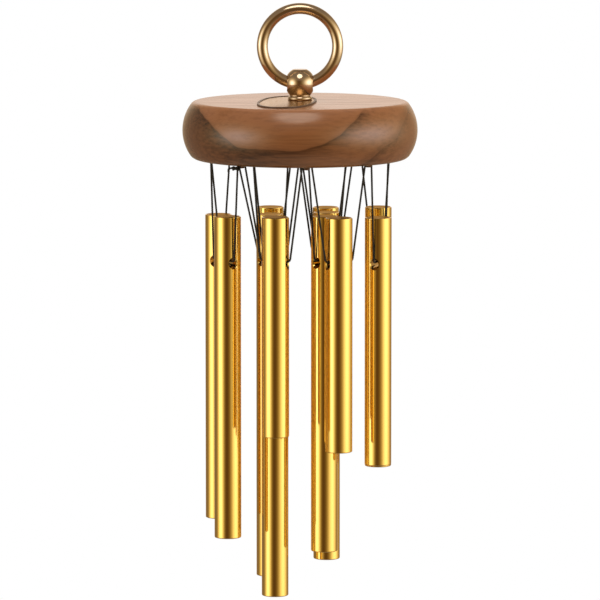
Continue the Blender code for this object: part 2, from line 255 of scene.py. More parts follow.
def settle(name, mesh, finishes, body, slot, *nodes):
    """A finished piece: smooth, with its finishes, riding on its body in place of its solids."""
    mesh.name = name
    for finish in finishes:
        mesh.materials.append(finish)
    mesh.shade_smooth()
    mesh.set_sharp_from_angle(angle=SHARP_ANGLE)
    piece = placed(name, mesh)
    even = piece.modifiers.new("even_shading", "WEIGHTED_NORMAL")
    even.keep_sharp = True
    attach(piece, body)
    if nodes:
        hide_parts(*nodes)


def middle_top(node):
    """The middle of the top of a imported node."""
    low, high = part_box(node)
    return Vector(((low.x + high.x) / 2, (low.y + high.y) / 2, high.z))


def peg_places():
    """The place of each peg at the disc's underside, with X along the circle of pegs through it."""
    places = {}
    for number in NUMBERS:
        spot = middle_top(f"cord_peg_{number}")
        turn = Matrix.Rotation(math.atan2(spot.x, -spot.y), 4, "Z")
        places[number] = Matrix.Translation((spot.x, spot.y, DISC_LOW.z)) @ turn
    return places


def hinge_place(number):
    """The place of a bar's hinge, with X along it."""
    joint = JOINTS[f"bar_{number}_swing"]
    along = -Vector(joint["axis"])
    turn = Matrix.Rotation(math.atan2(along.y, along.x), 4, "Z")
    return Matrix.Translation(joint["pos_m"]) @ turn


# Node helpers


def put(tree, kind, inputs=None, **settings):
    """A new node with its settings, and its inputs given as values or as sockets to link."""
    made = tree.nodes.new(kind)
    for key, value in settings.items():
        setattr(made, key, value)
    for key, value in (inputs or {}).items():
        if isinstance(value, bpy.types.NodeSocket):
            tree.links.new(value, made.inputs[key])
        else:
            made.inputs[key].default_value = value
    return made


def flow(tree, kind, inputs=None, **settings):
    """The first output of a new node."""
    return put(tree, kind, inputs, **settings).outputs[0]


def calc(tree, operation, first, second=0.0, third=0.0):
    """The result of a Math node, in a shader tree or a geometry tree."""
    return flow(tree, "ShaderNodeMath", {0: first, 1: second, 2: third}, operation=operation)


def times(tree, first, *others):
    """The product of some numbers."""
    for other in others:
        first = calc(tree, "MULTIPLY", first, other)
    return first


def vector_calc(tree, operation, first, second=(0.0, 0.0, 0.0)):
    """The result of a Vector Math node."""
    node = put(tree, "ShaderNodeVectorMath", {0: first, 1: second}, operation=operation)
    return node.outputs["Value" if operation == "LENGTH" else "Vector"]


def stretched(tree, vector, *scales):
    """The vector with a scale along each axis."""
    return vector_calc(tree, "MULTIPLY", vector, scales)


def mixed(tree, share, *tints):
    """The colour between two others, which are sockets or channels."""
    sockets = [tint if isinstance(tint, bpy.types.NodeSocket) else (*tint, 1.0) for tint in tints]
    inputs = {0: share, 6: sockets[0], 7: sockets[1]}
    return put(tree, "ShaderNodeMix", inputs, data_type="RGBA").outputs[2]


def eased(tree, value, low, high, to_low=0.0, to_high=1.0):
    """The value carried smoothly from one range to another, and held at its ends."""
    inputs = {"Value": value, "From Min": low, "From Max": high}
    inputs |= {"To Min": to_low, "To Max": to_high}
    return flow(tree, "ShaderNodeMapRange", inputs, interpolation_type="SMOOTHSTEP")


def noise(tree, vector, scale, detail=2.0, roughness=0.5):
    """Soft noise from 0 to 1."""
    inputs = {"Vector": vector, "Scale": scale, "Detail": detail, "Roughness": roughness}
    return flow(tree, "ShaderNodeTexNoise", inputs)


def toned(tint, *shares):
    """A colour scaled by one share, or by a share for each channel."""
    return tuple(channel * share for channel, share in zip(tint, shares * (3 // len(shares))))


def new_group(name, kind, inputs, outputs):
    """A node group with labels for each type of socket, its inputs and its outputs."""
    tree = bpy.data.node_groups.new(name, kind)
    for way, sockets in (("INPUT", inputs), ("OUTPUT", outputs)):
        for socket, labels in sockets.items():
            for label in labels:
                tree.interface.new_socket(label, in_out=way, socket_type=f"NodeSocket{socket}")
    given, out = tree.nodes.new("NodeGroupInput"), tree.nodes.new("NodeGroupOutput")
    return tree, given.outputs, out.inputs


def effect(tree, build, inputs):
    """The outputs of a shader group that is built once and then reused."""
    name = build.__name__.removesuffix("_group")
    group = bpy.data.node_groups.get(name) or build(name)
    return put(tree, "ShaderNodeGroup", inputs, node_tree=group).outputs


def handling_group(name):
    """Faint smudges and specks from handling: a share of dulling, and a height for the specks."""
    inputs = {"Vector": ["Position"], "Float": ["Smudge Size"]}
    tree, given, out = new_group(name, "ShaderNodeTree", inputs, {"Float": ["Dulling", "Height"]})
    smudges = noise(tree, given["Position"], given["Smudge Size"], 3.0, 0.55)
    specks = noise(tree, given["Position"], 2.3, 2.0, 0.6)
    patchy = eased(tree, specks, 0.2, 0.8, 0.6, 1.0)
    tree.links.new(times(tree, eased(tree, smudges, 0.38, 0.72), patchy), out["Dulling"])
    tree.links.new(specks, out["Height"])
    return tree


def fibres_group(name):
    """Wood fibres along X: long streaks, short dark pores, and a height for both."""
    inputs = {"Vector": ["Position"], "Float": ["Fineness"]}
    outputs = {"Float": ["Streak", "Pore", "Height"]}
    tree, given, out = new_group(name, "ShaderNodeTree", inputs, outputs)
    long = stretched(tree, given["Position"], 0.035, 0.5, 0.95)
    streak = noise(tree, long, given["Fineness"], 4.0, 0.62)
    short = stretched(tree, given["Position"], 0.16, 2.1, 2.6)
    pore = eased(tree, noise(tree, short, given["Fineness"], 1.0), 0.66, 0.78)
    tree.links.new(streak, out["Streak"])
    tree.links.new(pore, out["Pore"])
    tree.links.new(calc(tree, "SUBTRACT", streak, pore), out["Height"])
    return tree


def soft_panel_group(name):
    """Light from a soft panel, which fades and warms from its middle."""
    inputs = {"Vector": ["Direction"], "Float": PANEL_ANGLES}
    tree, given, out = new_group(name, "ShaderNodeTree", inputs, {"Vector": ["Light"]})
    right, back, up = put(tree, "ShaderNodeSeparateXYZ", {0: given["Direction"]}).outputs
    azimuth = calc(tree, "ARCTAN2", right, times(tree, back, -1.0))
    aside = calc(tree, "SUBTRACT", azimuth, given["Azimuth"])
    aside = calc(tree, "WRAP", aside, math.pi, -math.pi)
    above = calc(tree, "SUBTRACT", calc(tree, "ARCSINE", up), given["Elevation"])
    across = calc(tree, "DIVIDE", aside, given["Spread"])
    along = calc(tree, "DIVIDE", above, given["Height"])
    fall = calc(tree, "MULTIPLY_ADD", across, across, times(tree, along, along))
    glow = calc(tree, "EXPONENT", times(tree, fall, -1.0))
    warmed = {"X": glow, "Y": calc(tree, "POWER", glow, 1.12), "Z": calc(tree, "POWER", glow, 1.5)}
    tree.links.new(flow(tree, "ShaderNodeCombineXYZ", warmed), out["Light"])
    return tree


# Finishes


def new_finish(name, **plain):
    """A material with plain values of its Principled shader, and its tree."""
    finish = bpy.data.materials.new(name)
    finish.use_nodes = True
    inputs = finish.node_tree.nodes["Principled BSDF"].inputs
    for label, value in plain.items():
        inputs[label.replace("_", " ")].default_value = value
    return finish, finish.node_tree


def in_millimetres(tree, turn=(0.0, 0.0, 0.0), centre=(0.0, 0.0, 0.0)):
    """The place on the piece in millimetres, about a centre given in metres, turned as asked."""
    place = put(tree, "ShaderNodeTexCoord").outputs["Object"]
    place = vector_calc(tree, "SUBTRACT", place, centre)
    inputs = {"Vector": place, "Rotation": turn, "Scale": (1 / MM,) * 3}
    return flow(tree, "ShaderNodeMapping", inputs)


def kept_number(tree, name):
    """A number that a geometry tree has kept on the piece."""
    return put(tree, "ShaderNodeAttribute", attribute_name=name).outputs["Fac"]


def coated(finish, tone, roughness, height=None, depth=0.0, strength=0.5):
    """The finish with its colour, a roughness eased from a value, and any relief in metres."""
    tree = finish.node_tree
    inputs = tree.nodes["Principled BSDF"].inputs
    tree.links.new(tone, inputs["Base Color"])
    tree.links.new(eased(tree, *roughness), inputs["Roughness"])
    if height is not None:
        relief = {"Height": height, "Distance": depth, "Strength": strength}
        tree.links.new(flow(tree, "ShaderNodeBump", relief), inputs["Normal"])
    return finish


def polished(name, tint, smooth, dull, smudge_size):
    """Polished metal that handling has dulled in places."""
    finish, tree = new_finish(name, Metallic=1.0)
    inputs = {"Position": in_millimetres(tree), "Smudge Size": smudge_size}
    handling = effect(tree, handling_group, inputs)
    tone = mixed(tree, handling["Dulling"], tint, toned(tint, 0.86))
    roughness = (handling["Dulling"], 0.0, 1.0, smooth, dull)
    return coated(finish, tone, roughness, handling["Height"], 0.01 * MM, 0.12)


def brass_finish(tint):
    """The brass that the ring and the post share."""
    name = "polished_brass_fine"
    return bpy.data.materials.get(name) or polished(name, tint, 0.1, 0.2, 0.22)


def gold_finish(tint):
    """Gold anodised rod: faint lines of colour along it, dulled a little, under a clear coat."""
    clear = {"Coat_Weight": 1.0, "Coat_IOR": 2.2, "Coat_Roughness": 0.12}
    edge = (0.85, 0.60, 0.20, 1.0)
    finish, tree = new_finish("gold_anodised", Metallic=1.0, Specular_Tint=edge, **clear)
    place = in_millimetres(tree)
    handling = effect(tree, handling_group, {"Position": place, "Smudge Size": 0.12})
    lines = noise(tree, stretched(tree, place, 1.0, 1.0, 0.012), 3.1, 3.0, 0.6)
    tone = mixed(tree, lines, toned(tint, 0.95, 0.93, 0.86), tint)
    return coated(finish, tone, (handling["Dulling"], 0.0, 1.0, 0.09, 0.15))


def cut_end_finish(tint):
    """A faced rod end, with fine rings from the tool about the rod's own axis."""
    edge, per_turn = (0.70, 0.50, 0.24, 1.0), 0.28 * MM
    finish, tree = new_finish("faced_rod_end", Metallic=1.0, Specular_Tint=edge)
    turns = times(tree, kept_number(tree, "from_axis"), 2 * math.pi / per_turn)
    rings = calc(tree, "SINE", turns)
    height = eased(tree, rings, -1.0, 1.0)
    tone = mixed(tree, height, toned(tint, 0.82), tint)
    return coated(finish, tone, (rings, -1.0, 1.0, 0.3, 0.42), height, 0.02 * MM, 0.4)


def walnut_finish(light, dark):
    """Satin varnished walnut: growth rings about a heart above the front, and fibres along X."""
    finish, tree = new_finish("varnished_walnut_fine", Specular_IOR_Level=0.85)
    heart = (-8 * MM, DISC_LOW.y, DISC_HIGH.z + 21.2 * MM)
    first_ring, ring_width = 36.3, 14.6
    place = in_millimetres(tree, centre=heart)
    across, _, up = put(tree, "ShaderNodeSeparateXYZ", {0: place}).outputs
    fibres = effect(tree, fibres_group, {"Position": place, "Fineness": 1.0})
    streak = fibres["Streak"]

    sway = put(tree, "ShaderNodeTexNoise", {"Vector": place, "Scale": 0.05, "Detail": 2.0})
    sway = vector_calc(tree, "SUBTRACT", sway.outputs["Color"], (0.5,) * 3)
    swayed = vector_calc(tree, "ADD", place, stretched(tree, sway, 6.0, 6.0, 6.0))
    from_heart = vector_calc(tree, "LENGTH", stretched(tree, swayed, 0.94, 0.45, 1.0))
    ragged = calc(tree, "MULTIPLY_ADD", streak, 1.2, from_heart)
    rings = calc(tree, "DIVIDE", calc(tree, "SUBTRACT", ragged, first_ring), ring_width)
    through_ring = calc(tree, "FRACT", rings)
    late_wood = eased(tree, through_ring, 0.8, 1.0, 0.0, 0.4)
    for fade, start, end, left in ((-1.1, -10.0, 28.0, 0.12), (-5.0, 22.0, 44.0, 0.6)):
        band = calc(tree, "EXPONENT", times(tree, through_ring, fade))
        band = times(tree, band, eased(tree, across, start, end, 1.0, left))
        late_wood = calc(tree, "MAXIMUM", late_wood, band)
    inside = eased(tree, rings, -0.08, 0.04, 0.0, 0.9)
    # Near the top face the dark late wood fades out: painted sheen, standing in for the reflection
    # that washes the rings out there
    late_wood = times(tree, late_wood, inside, eased(tree, up, -23.2, -21.4, 1.0, 0.15))

    left, right = eased(tree, across, -33.0, -20.0), eased(tree, across, 49.0, 36.0)
    long_grain = calc(tree, "MULTIPLY_ADD", times(tree, left, right), 0.65, 0.35)
    streaks = eased(tree, streak, 0.3, 0.7, 0.22, -0.16)
    figure = calc(tree, "MULTIPLY_ADD", fibres["Pore"], 0.18, streaks)
    shade = calc(tree, "MULTIPLY_ADD", figure, long_grain, late_wood)
    shade = calc(tree, "ADD", shade, eased(tree, across, -33.0, -20.0, 0.12, 0.0))
    patches = noise(tree, stretched(tree, place, 0.5, 1.0, 1.0), 0.06, 1.0)
    tan = toned(light, 1.05, 1.12, 1.35)
    ground = mixed(tree, eased(tree, patches, 0.35, 0.65), light, tan)
    tone = mixed(tree, shade, ground, dark)
    return coated(finish, tone, (streak, 0.3, 0.7, 0.25, 0.18), streak, 0.02 * MM, 0.2)


def peg_finish(tint):
    """Bare peg wood, with its fibres along the peg."""
    finish, tree = new_finish("bare_peg_wood")
    inputs = {"Position": in_millimetres(tree, turn=(0.0, math.pi / 2, 0.0)), "Fineness": 2.0}
    fibres = effect(tree, fibres_group, inputs)
    tone = mixed(tree, fibres["Streak"], tint, toned(tint, 0.5))
    roughness = (fibres["Streak"], 0.0, 1.0, 0.55, 0.75)
    return coated(finish, tone, roughness, fibres["Height"], 0.03 * MM)


def cord_finish(tint):
    """Black laid cord, with filaments that follow its strands."""
    name = "black_laid_cord"
    if name in bpy.data.materials:
        return bpy.data.materials[name]
    finish, tree = new_finish(name, Sheen_Weight=0.25, Sheen_Roughness=0.4)
    inputs = {"X": kept_number(tree, "cord_along"), "Y": kept_number(tree, "cord_around")}
    surface = flow(tree, "ShaderNodeCombineXYZ", inputs)
    filaments = noise(tree, stretched(tree, surface, 600.0, 60.0, 1.0), 1.0, 2.0, 0.6)
    tone = mixed(tree, eased(tree, filaments, 0.45, 0.75), tint, toned(tint, 3.4))
    return coated(finish, tone, (filaments, 0.3, 0.7, 0.55, 0.75), filaments, 0.02 * MM, 0.6)


def plate_finish(tint):
    """Plate metal with faint brush lines along the plate."""
    finish, tree = new_finish("brushed_plate", Metallic=1.0)
    place = in_millimetres(tree, turn=(0.0, 0.0, -PLATE_TURN))
    lines = noise(tree, stretched(tree, place, 0.05, 4.0, 1.0), 1.6, 2.0, 0.6)
    tone = mixed(tree, lines, toned(tint, 0.7), tint)
    return coated(finish, tone, (lines, 0.3, 0.7, 0.2, 0.34), lines, 0.01 * MM, 0.3)


def rim_finish(tint):
    """Dark enamel of the plate's rim, a little worn."""
    finish, tree = new_finish("dark_rim_enamel")
    wear = noise(tree, in_millimetres(tree), 0.9, 3.0, 0.6)
    tone = mixed(tree, eased(tree, wear, 0.5, 0.8), tint, toned(tint, 2.2))
    return coated(finish, tone, (wear, 0.3, 0.7, 0.3, 0.5))


# Geometry node trees


def geometry_tree(name, **inputs):
    """A geometry tree with labels for each type of input, its inputs and its output."""
    whole = {"Geometry": ["Geometry"]}
    tree, given, out = new_group(name, "GeometryNodeTree", whole | inputs, whole)
    return tree, given, out["Geometry"]


def grown(tree, mesh, **values):
    """The mesh that a geometry tree makes, with its inputs set by label."""
    made = placed("carrier", mesh)
    modifier = made.modifiers.new(tree.name, "NODES")
    modifier.node_group = tree
    for item in tree.interface.items_tree:
        label = item.name.replace(" ", "_").lower()
        if item.in_out == "INPUT" and label in values:
            modifier[item.identifier] = values[label]
    return evaluated(made)


def moved(tree, geometry, place):
    """The geometry with each of its points at the place worked out for it."""
    inputs = {"Geometry": geometry, "Position": place}
    return flow(tree, "GeometryNodeSetPosition", inputs)


def marked(tree, geometry, name, value):
    """The geometry with a number kept at each of its points."""
    inputs = {"Geometry": geometry, "Name": name, "Value": value}
    return flow(tree, "GeometryNodeStoreNamedAttribute", inputs, data_type="FLOAT", domain="POINT")


def dressed(tree, geometry, finish):
    """The geometry made real and given its finish."""
    whole = flow(tree, "GeometryNodeRealizeInstances", {"Geometry": geometry})
    return flow(tree, "GeometryNodeSetMaterial", {"Geometry": whole, "Material": finish})


def circle(tree, sides):
    """A circle of radius 1, to be scaled."""
    return flow(tree, "GeometryNodeCurvePrimitiveCircle", {"Resolution": sides, "Radius": 1.0})


def stepped_rail(tree, across, points):
    """A straight rail of as many points, with each point's index counted from the nearer end."""
    line = flow(tree, "GeometryNodeCurvePrimitiveLine", {"Start": (0, 0, 0), "End": across})
    inputs = {"Curve": line, "Count": points}
    rail = flow(tree, "GeometryNodeResampleCurve", inputs, mode="COUNT")
    index = flow(tree, "GeometryNodeInputIndex")
    from_end = calc(tree, "MINIMUM", index, calc(tree, "SUBTRACT", points - 1, index))
    past_middle = calc(tree, "GREATER_THAN", index, (points - 1) / 2)
    return rail, from_end, past_middle


def swept(tree, rail, radius, sides):
    """A closed round solid along a rail, with the radius given at each point."""
    sized = flow(tree, "GeometryNodeSetCurveRadius", {"Curve": rail, "Radius": radius})
    inputs = {"Curve": sized, "Profile Curve": circle(tree, sides), "Fill Caps": True}
    inputs["Scale"] = flow(tree, "GeometryNodeInputRadius")
    return flow(tree, "GeometryNodeCurveToMesh", inputs)


def bar_tree():
    """A rod hanging from the origin, with softened ends and a countersunk cross hole along X."""
    lengths = ("Length", "Diameter", "Chamfer", "Hole Drop", "Hole Diameter", "Countersink")
    finishes = ("Rod Finish", "End Finish")
    tree, given, out = geometry_tree("rod_with_cross_hole", Float=lengths, Material=finishes)
    radius = times(tree, given["Diameter"], 0.5)

    rail, from_end, past_middle = stepped_rail(tree, (0, 0, -1), points=6)
    softness, upright = 1.74, 0.95
    share = times(tree, from_end, 0.5)
    depth = times(tree, given["Chamfer"], calc(tree, "POWER", share, softness))
    inset = calc(tree, "POWER", calc(tree, "SUBTRACT", 1.0, share), softness)
    inset = times(tree, given["Chamfer"], inset)
    from_bottom = calc(tree, "SUBTRACT", times(tree, depth, 2.0), given["Length"])
    height = calc(tree, "MULTIPLY_ADD", past_middle, from_bottom, times(tree, depth, -1.0))
    rail = moved(tree, rail, flow(tree, "ShaderNodeCombineXYZ", {"Z": height}))
    rod = swept(tree, rail, calc(tree, "SUBTRACT", radius, inset), ROUND)

    drill, from_mouth, far_side = stepped_rail(tree, (1, 0, 0), points=4)
    at_mouth = calc(tree, "SUBTRACT", 1.0, from_mouth)
    flare_start = calc(tree, "SUBTRACT", radius, given["Countersink"])
    flare = calc(tree, "ADD", given["Countersink"], OVERRUN)
    reach = calc(tree, "MULTIPLY_ADD", at_mouth, flare, flare_start)
    side = calc(tree, "MULTIPLY_ADD", far_side, 2.0, -1.0)
    spot = {"X": times(tree, side, reach), "Z": times(tree, given["Hole Drop"], -1.0)}
    drill = moved(tree, drill, flow(tree, "ShaderNodeCombineXYZ", spot))
    hole_radius = times(tree, given["Hole Diameter"], 0.5)
    drill = swept(tree, drill, calc(tree, "MULTIPLY_ADD", at_mouth, flare, hole_radius), DRILLED)

    inputs = {"Mesh 1": rod, "Mesh 2": drill}
    drilled = flow(tree, "GeometryNodeMeshBoolean", inputs, operation="DIFFERENCE")
    flat = stretched(tree, flow(tree, "GeometryNodeInputPosition"), 1.0, 1.0, 0.0)
    drilled = marked(tree, drilled, "from_axis", vector_calc(tree, "LENGTH", flat))
    facing = put(tree, "ShaderNodeSeparateXYZ", {0: flow(tree, "GeometryNodeInputNormal")})
    is_end = calc(tree, "GREATER_THAN", calc(tree, "ABSOLUTE", facing.outputs["Z"]), upright)
    inputs = {"Geometry": dressed(tree, drilled, given["Rod Finish"])}
    inputs |= {"Selection": is_end, "Material": given["End Finish"]}
    tree.links.new(flow(tree, "GeometryNodeSetMaterial", inputs), out)
    return tree


def cord_tree():
    """Laid cord along the edges of a path: strands that wind round each other."""
    lengths = ("Diameter", "Lay", "Step", "Groove")
    kinds = {"Float": lengths, "Int": ["Strands"], "Material": ["Finish"]}
    tree, given, out = geometry_tree("laid_cord", **kinds)
    path = flow(tree, "GeometryNodeMeshToCurve", {"Mesh": given["Geometry"]})
    inputs = {"Curve": path, "Length": given["Step"]}
    path = flow(tree, "GeometryNodeResampleCurve", inputs, mode="LENGTH")
    path = flow(tree, "GeometryNodeSetCurveNormal", {"Curve": path}, mode="MINIMUM_TWIST")
    run = put(tree, "GeometryNodeSplineParameter").outputs
    tilt = times(tree, calc(tree, "DIVIDE", run["Length"], given["Lay"]), 2 * math.pi)
    path = flow(tree, "GeometryNodeSetCurveTilt", {"Curve": path, "Tilt": tilt})
    path = marked(tree, path, "cord_along", run["Length"])

    ring = marked(tree, circle(tree, CORDED), "cord_around", run["Factor"])
    lobes = times(tree, run["Factor"], given["Strands"], 2 * math.pi)
    dip = calc(tree, "MULTIPLY_ADD", calc(tree, "COSINE", lobes), -0.5, 0.5)
    radius = calc(tree, "SUBTRACT", 1.0, times(tree, dip, given["Groove"]))
    radius = times(tree, radius, given["Diameter"], 0.5)
    inputs = {0: flow(tree, "GeometryNodeInputPosition"), "Scale": radius}
    ring = moved(tree, ring, flow(tree, "ShaderNodeVectorMath", inputs, operation="SCALE"))

    inputs = {"Curve": path, "Profile Curve": ring, "Fill Caps": True}
    cord = flow(tree, "GeometryNodeCurveToMesh", inputs)
    tree.links.new(dressed(tree, cord, given["Finish"]), out)
    return tree


def lay_cord(points, sizes, finish):
    """The mesh of a laid cord through the points."""
    path = bpy.data.meshes.new("path")
    path.from_pydata(points, [(index, index + 1) for index in range(len(points) - 1)], [])
    tree = bpy.data.node_groups.get("laid_cord") or cord_tree()
    form = {"diameter": sizes.cord, "groove": sizes.cord_groove, "strands": sizes.cord_lobes}
    form |= {"lay": sizes.cord_lay, "step": sizes.cord_lay / STEPS_PER_LAY}
    return grown(tree, path, finish=finish, **form)


# Pieces


def chime_of(context):
    """The sizes and the colours of the scene's chime."""
    return context.scene.chime_sizes, context.scene.chime_colours


class CHIME_OT_hang_ring(bpy.types.Operator):
    """Round brass wire closed into the hanging ring"""

    bl_idname = "chime.hang_ring"
    bl_label = "Hanging Ring"

    def execute(self, context):
        sizes, colours = chime_of(context)
        middle = (sizes.ring - sizes.wire) / 2
        section = arc((middle, 0.0), sizes.wire / 2, 0.0, 2 * math.pi, steps=40)[:-1]
        wire = turned(section, FINE, closed=True)
        wire.transform(Matrix.Rotation(math.pi / 2, 4, "X"))
        wire.transform(Matrix.Translation((RING_LOW + RING_HIGH) / 2))
        brass = brass_finish(colours.brass)
        settle("wire_ring", wire, [brass], "ring", "brass", "hang_ring")
        return {"FINISHED"}


class CHIME_OT_ring_post(bpy.types.Operator):
    """Turned brass post: a bored ball on a neck and a rounded foot, with its stud"""

    bl_idname = "chime.ring_post"
    bl_label = "Ring Post"

    def execute(self, context):
        sizes, colours = chime_of(context)
        ball, neck, foot, stud = sizes.ball / 2, sizes.neck / 2, sizes.foot / 2, sizes.stud / 2
        seat, edge, soft = 0.05 * MM, 0.25 * MM, sizes.foot_round
        foot_bottom = DISC_HIGH.z + seat - BALL_CENTRE.z
        foot_top = foot_bottom + sizes.foot_height
        stud_end = POST_LOW.z - BALL_CENTRE.z

        top_angle = math.acos(sizes.ball_flat / sizes.ball)
        neck_angle = -math.acos(sizes.neck / sizes.ball)
        drawn_out = 1.18
        ball_arc = arc((0.0, 0.0), ball, top_angle, neck_angle, steps=48)
        ball_arc = [(radius, min(height, drawn_out * height)) for radius, height in ball_arc]
        flat, crown = ball_arc[0]
        foot_edge = arc((foot - soft, foot_top - soft), soft, math.pi / 2, 0.0, steps=10)
        outline = [(0.0, crown), (flat - edge, crown), *ball_arc, (neck, foot_top)]
        outline += mirrored(foot_edge, (foot_top + foot_bottom) / 2)
        outline += [(stud, foot_bottom), (stud, stud_end + edge)]
        outline += [(stud - edge, stud_end), (0.0, stud_end)]
        post = turned(outline, 2 * ROUND)

        bore, flare = sizes.bore / 2, 0.9 * MM
        drill = turned(mirrored([(0.0, ball), (bore + flare, ball), (bore, ball - flare)]), ROUND)
        drill.transform(Matrix.Rotation(math.pi / 2, 4, "Y"))
        post = carved(post, drill)
        post.transform(Matrix.Translation(BALL_CENTRE))
        brass = brass_finish(colours.brass)
        settle("turned_post", post, [brass], "disc", "brass", "ring_post")
        return {"FINISHED"}


def disc_outline(sizes):
    """Half of the disc's section, from the middle of its top to the middle of its underside."""
    half = (DISC_HIGH.z - DISC_LOW.z) / 2
    side_radius = (half**2 + sizes.disc_bulge**2) / (2 * sizes.disc_bulge)
    centre = (DISC_HIGH.x - side_radius, DISC_HIGH.z - half)
    angles, edges = [], []
    for edge, up in ((sizes.disc_top, 1), (sizes.disc_bottom, -1)):
        angle = up * math.asin((half - edge) / (side_radius - edge))
        reach = centre[0] + (side_radius - edge) * math.cos(angle)
        middle = (reach, centre[1] + up * (half - edge))
        angles.append(angle)
        edges.append(arc(middle, edge, up * math.pi / 2, angle, steps=12))
    side = arc(centre, side_radius, *angles, steps=40)[1:-1]
    return [(0.0, DISC_HIGH.z), *edges[0], *side, *reversed(edges[1]), (0.0, DISC_LOW.z)]


class CHIME_OT_wooden_disc(bpy.types.Operator):
    """Turned walnut disc, drilled for the pegs and recessed for the nut"""

    bl_idname = "chime.wooden_disc"
    bl_label = "Wooden Disc"

    def execute(self, context):
        sizes, colours = chime_of(context)
        disc = turned(disc_outline(sizes), FINE)
        hole = sizes.peg_hole / 2
        drill = turned(cylinder(hole, -OVERRUN, PEG_DEPTH + hole), ROUND // 2)
        drills = bmesh.new()
        for place in peg_places().values():
            copy = drill.copy()
            copy.transform(place)
            drills.from_mesh(copy)
        disc = carved(disc, as_mesh(drills))

        stud, recess = sizes.stud / 2 + sizes.gap, sizes.counterbore / 2
        above, below = DISC_HIGH.z + OVERRUN, DISC_LOW.z - OVERRUN
        floor = WASHER_HIGH.z + sizes.gap
        outline = [(0.0, above), (stud, above), (stud, floor)]
        outline += [(recess, floor), (recess, below), (0.0, below)]
        disc = carved(disc, turned(outline, ROUND))
        walnut = walnut_finish(colours.walnut_light, colours.walnut_dark)
        settle("walnut_disc", disc, [walnut], "disc", "wood", "wooden_disc")
        return {"FINISHED"}


def oval(long, wide, low, high):
    """An upright prism about the plate's middle: an oval with full corners."""
    prism = turned(cylinder(1.0, low, high), FINE // 2)
    fullness = 0.84
    for vert in prism.vertices:
        vert.co.x = math.copysign(abs(vert.co.x) ** fullness, vert.co.x) / 2
        vert.co.y = math.copysign(abs(vert.co.y) ** fullness, vert.co.y) / 2
    place = Matrix.Translation((*PLATE_MIDDLE, DISC_HIGH.z)) @ Matrix.Rotation(PLATE_TURN, 4, "Z")
    prism.transform(place @ Matrix.Diagonal((long, wide, 1.0, 1.0)))
    return prism


class CHIME_OT_plate(bpy.types.Operator):
    """Bare oval plate on top of the disc, in a dark raised rim, notched for the post's foot"""

    bl_idname = "chime.plate"
    bl_label = "Plate"

    def execute(self, context):
        sizes, colours = chime_of(context)
        lay, sheet, rise = 0.02 * MM, 0.3 * MM, 0.52 * MM
        outer = (sizes.plate_length, sizes.plate_width)
        inner = tuple(size - 2 * sizes.plate_rim for size in outer)
        rim = carved(oval(*outer, lay, rise), oval(*inner, -OVERRUN, 2 * OVERRUN))
        plate = oval(*inner, lay, sheet)
        low, high = DISC_HIGH.z - OVERRUN, DISC_HIGH.z + 2 * OVERRUN
        notch = cylinder((sizes.foot + sizes.gap) / 2, low, high)
        for name, mesh, finish in (
            ("plate_rim", rim, rim_finish(colours.rim)),
            ("bare_plate", plate, plate_finish(colours.plate)),
        ):
            settle(name, carved(mesh, turned(notch, ROUND)), [finish], "disc", "steel")
        return {"FINISHED"}


class CHIME_OT_fasteners(bpy.types.Operator):
    """Washer and chamfered hex nut that draw the post down"""

    bl_idname = "chime.fasteners"
    bl_label = "Washer and Nut"

    def execute(self, context):
        sizes, colours = chime_of(context)
        steel = polished("plated_steel_fine", colours.steel, 0.28, 0.42, 0.35)
        inner, outer = sizes.stud / 2 + sizes.gap, (WASHER_HIGH.x - WASHER_LOW.x) / 2
        edge = 0.15 * MM
        top, bottom = WASHER_HIGH.z, WASHER_LOW.z
        half = [(inner, top), (outer - edge, top), (outer, top - edge)]
        washer = turned(mirrored(half, (top + bottom) / 2), ROUND, closed=True)
        settle("flat_washer", washer, [steel], "disc", "steel", "post_washer")

        flats, corner = (NUT_HIGH.y - NUT_LOW.y) / 2, (NUT_HIGH.x - NUT_LOW.x) / 2
        top, bottom = NUT_HIGH.z, NUT_LOW.z
        prism = turned(cylinder(corner, bottom, top), sides=6)
        rise = (corner - flats) * math.tan(math.radians(30))
        half = [(inner, top), (flats, top), (corner + edge, top - rise)]
        shape = turned(mirrored(half, (top + bottom) / 2), ROUND, closed=True)
        nut = carved(prism, shape, "INTERSECT")
        settle("hex_nut", nut, [steel], "disc", "steel", "post_nut")
        return {"FINISHED"}


class CHIME_OT_pegs(bpy.types.Operator):
    """Tapered pegs that wedge the cord in the disc"""

    bl_idname = "chime.pegs"
    bl_label = "Pegs"

    def execute(self, context):
        wood = peg_finish(context.scene.chime_colours.peg)
        proud = DISC_LOW.z - PEG_LOW.z
        head, tip, soft = 1.1 * MM, 0.9 * MM, 0.35 * MM
        end = arc((head - soft, soft - proud), soft, 0.0, -math.pi / 2, steps=5)
        outline = [(0.0, PEG_DEPTH), (tip, PEG_DEPTH), (head, 0.0), *end, (0.0, -proud)]
        for number, place in peg_places().items():
            peg = turned(outline, PEGGED)
            peg.transform(place)
            settle(f"wedge_peg_{number}", peg, [wood], "disc", "peg_wood", f"cord_peg_{number}")
        return {"FINISHED"}


